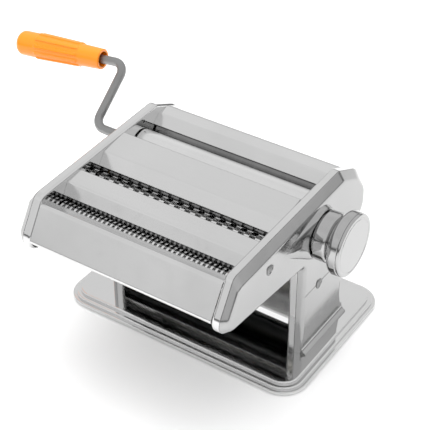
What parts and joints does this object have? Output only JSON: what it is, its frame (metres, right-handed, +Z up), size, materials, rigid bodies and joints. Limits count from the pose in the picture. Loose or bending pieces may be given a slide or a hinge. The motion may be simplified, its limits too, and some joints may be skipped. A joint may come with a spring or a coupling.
{
  "type": "pasta roller",
  "caption": "Hand-cranked pasta roller with smooth rollers, two cutting pairs, a gap knob and a side crank on a stepped base tray.",
  "frame": {"origin": "centre of the base tray on the plane that its rubber pads stand on", "axes": "+Z up, +X along the rollers from the crank side to the gap knob, -Y towards the front where cut pasta comes out"},
  "size_m": [0.3395, 0.2019, 0.1598],
  "materials": {
    "polished_steel": "polished stainless sheet",
    "brushed_steel": "satin stainless sheet",
    "chrome": "bright chrome",
    "roller_steel": "ground and plated",
    "zinc": "matt nickel plate",
    "gear_steel": "machined",
    "bronze": "sintered bush",
    "grip_plastic": "moulded, gloss",
    "rubber": "moulded",
    "comb_plastic": "moulded"
  },
  "bodies": {
    "root": {"base_plate": "polished_steel", "base_screws": "zinc", "cover_screws": "zinc", "cutter_cover": "polished_steel", "dough_chute": "polished_steel", "fine_comb_front": "comb_plastic", "fine_comb_rear": "comb_plastic", "foot_pads": "rubber", "frame_bushes": "bronze", "front_cover": "polished_steel", "index_plate": "chrome", "medium_comb_front": "comb_plastic", "medium_comb_rear": "comb_plastic", "middle_cover": "polished_steel", "rear_cover": "polished_steel", "roller_scraper_front": "brushed_steel", "roller_scraper_rear": "brushed_steel", "side_cover_left": "polished_steel", "side_cover_right": "polished_steel", "side_frame_left": "polished_steel", "side_frame_right": "polished_steel", "tie_rod_nuts": "gear_steel", "tie_rods": "gear_steel"},
    "drive_roller": {"drive_roller": "roller_steel", "drive_roller_gear": "gear_steel"},
    "crank": {"crank_arm": "zinc", "crank_pin": "gear_steel", "grip_retainer": "gear_steel"},
    "grip": {"crank_grip": "grip_plastic"},
    "carriage": {"slide_plate_left": "gear_steel", "slide_plate_right": "gear_steel", "slide_tie_bar": "gear_steel", "slide_bushes": "bronze"},
    "sliding_roller": {"sliding_roller": "roller_steel", "sliding_roller_gear": "gear_steel"},
    "medium_front": {"medium_cutter_front": "roller_steel", "medium_gear_front": "gear_steel"},
    "medium_rear": {"medium_cutter_rear": "roller_steel", "medium_gear_rear": "gear_steel"},
    "fine_front": {"fine_cutter_front": "roller_steel", "fine_gear_front": "gear_steel"},
    "fine_rear": {"fine_cutter_rear": "roller_steel", "fine_gear_rear": "gear_steel"},
    "spindle": {"knob_spindle": "gear_steel", "gap_cam": "gear_steel", "spindle_screw": "zinc", "knob_spring": "zinc"},
    "knob": {"knob": "chrome", "knob_cap": "chrome", "index_pin": "gear_steel"}
  },
  "joints": [
    {"name": "roller_turn", "type": "hinge", "parent": "root", "child": "drive_roller", "pos_m": [0, 0.0005, 0.118], "axis": [1, 0, 0], "continuous": true},
    {"name": "crank_pull", "type": "slide", "parent": "drive_roller", "child": "crank", "axis": [-1, 0, 0], "range_m": [0, 0.014]},
    {"name": "grip_spin", "type": "hinge", "parent": "crank", "child": "grip", "pos_m": [-0.1211, 0.04324, 0.15261], "axis": [-0.9936, -0.088, -0.0712], "continuous": true},
    {"name": "roller_gap", "type": "slide", "parent": "root", "child": "carriage", "axis": [0, -1, 0], "range_m": [0, 0.0021]},
    {"name": "sliding_roller_turn", "type": "hinge", "parent": "carriage", "child": "sliding_roller", "pos_m": [0, 0.02793, 0.116], "axis": [1, 0, 0], "continuous": true},
    {"name": "knob_turn", "type": "hinge", "parent": "root", "child": "spindle", "pos_m": [0, -0.0135, 0.112], "axis": [1, 0, 0], "range_deg": [0, 240]},
    {"name": "knob_pull", "type": "slide", "parent": "spindle", "child": "knob", "axis": [1, 0, 0], "range_m": [0, 0.004], "stiffness_N_per_m": 400, "springref_m": -0.004, "deforming": ["knob_spring"]},
    {"name": "medium_front_turn", "type": "hinge", "parent": "root", "child": "medium_front", "pos_m": [0, -0.0514, 0.112], "axis": [1, 0, 0], "continuous": true},
    {"name": "medium_rear_turn", "type": "hinge", "parent": "root", "child": "medium_rear", "pos_m": [0, -0.0354, 0.112], "axis": [1, 0, 0], "continuous": true},
    {"name": "fine_front_turn", "type": "hinge", "parent": "root", "child": "fine_front", "pos_m": [0, -0.0951, 0.112], "axis": [1, 0, 0], "continuous": true},
    {"name": "fine_rear_turn", "type": "hinge", "parent": "root", "child": "fine_rear", "pos_m": [0, -0.0791, 0.112], "axis": [1, 0, 0], "continuous": true}
  ],
  "couplings": [
    {"joint": "sliding_roller_turn", "follows": "roller_turn", "ratio": -1},
    {"joint": "knob_turn", "follows": "roller_gap", "rad_per_m": 1994.7},
    {"joint": "medium_front_turn", "follows": "medium_rear_turn", "ratio": -1},
    {"joint": "fine_front_turn", "follows": "fine_rear_turn", "ratio": -1}
  ]
}
